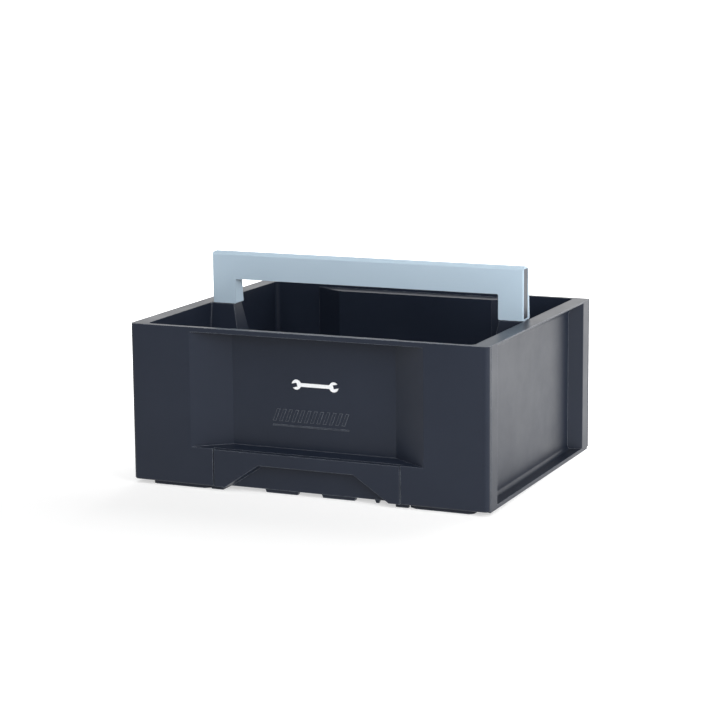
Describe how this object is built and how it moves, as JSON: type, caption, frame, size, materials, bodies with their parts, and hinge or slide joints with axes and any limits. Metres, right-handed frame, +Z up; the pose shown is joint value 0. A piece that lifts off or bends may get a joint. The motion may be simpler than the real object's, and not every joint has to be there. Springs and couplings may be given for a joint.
{
  "type": "tool storage caddy",
  "caption": "Open rectangular tool caddy with a fixed central carrying handle, recessed walls and a sprung latch slider that locks it onto a box below.",
  "frame": {"origin": "on the surface the caddy stands on, under the middle of the tub", "axes": "+X right along the carrying handle, +Y from the latch face to the rear face, +Z up"},
  "size_m": [0.396, 0.318, 0.2265],
  "materials": {
    "tub_plastic": "fine satin grain, anthracite blue",
    "latch_plastic": "fine satin grain, anthracite blue",
    "handle_plastic": "satin, light blue-grey",
    "screw_steel": "zinc plated",
    "spring_steel": "bright drawn wire"
  },
  "bodies": {
    "caddy": {"tub": "tub_plastic", "handle_front_shell": "handle_plastic", "handle_rear_shell": "handle_plastic", "handle_screws": "screw_steel", "latch_spring_left": "spring_steel", "latch_spring_right": "spring_steel"},
    "latch": {"latch_slider": "latch_plastic"}
  },
  "joints": [
    {"name": "latch_slide", "type": "slide", "parent": "caddy", "child": "latch", "axis": [0, 0, 1], "range_m": [0, 0.008], "stiffness_N_per_m": 1200, "springref_m": -0.005, "deforming": ["latch_spring_left", "latch_spring_right"]}
  ]
}
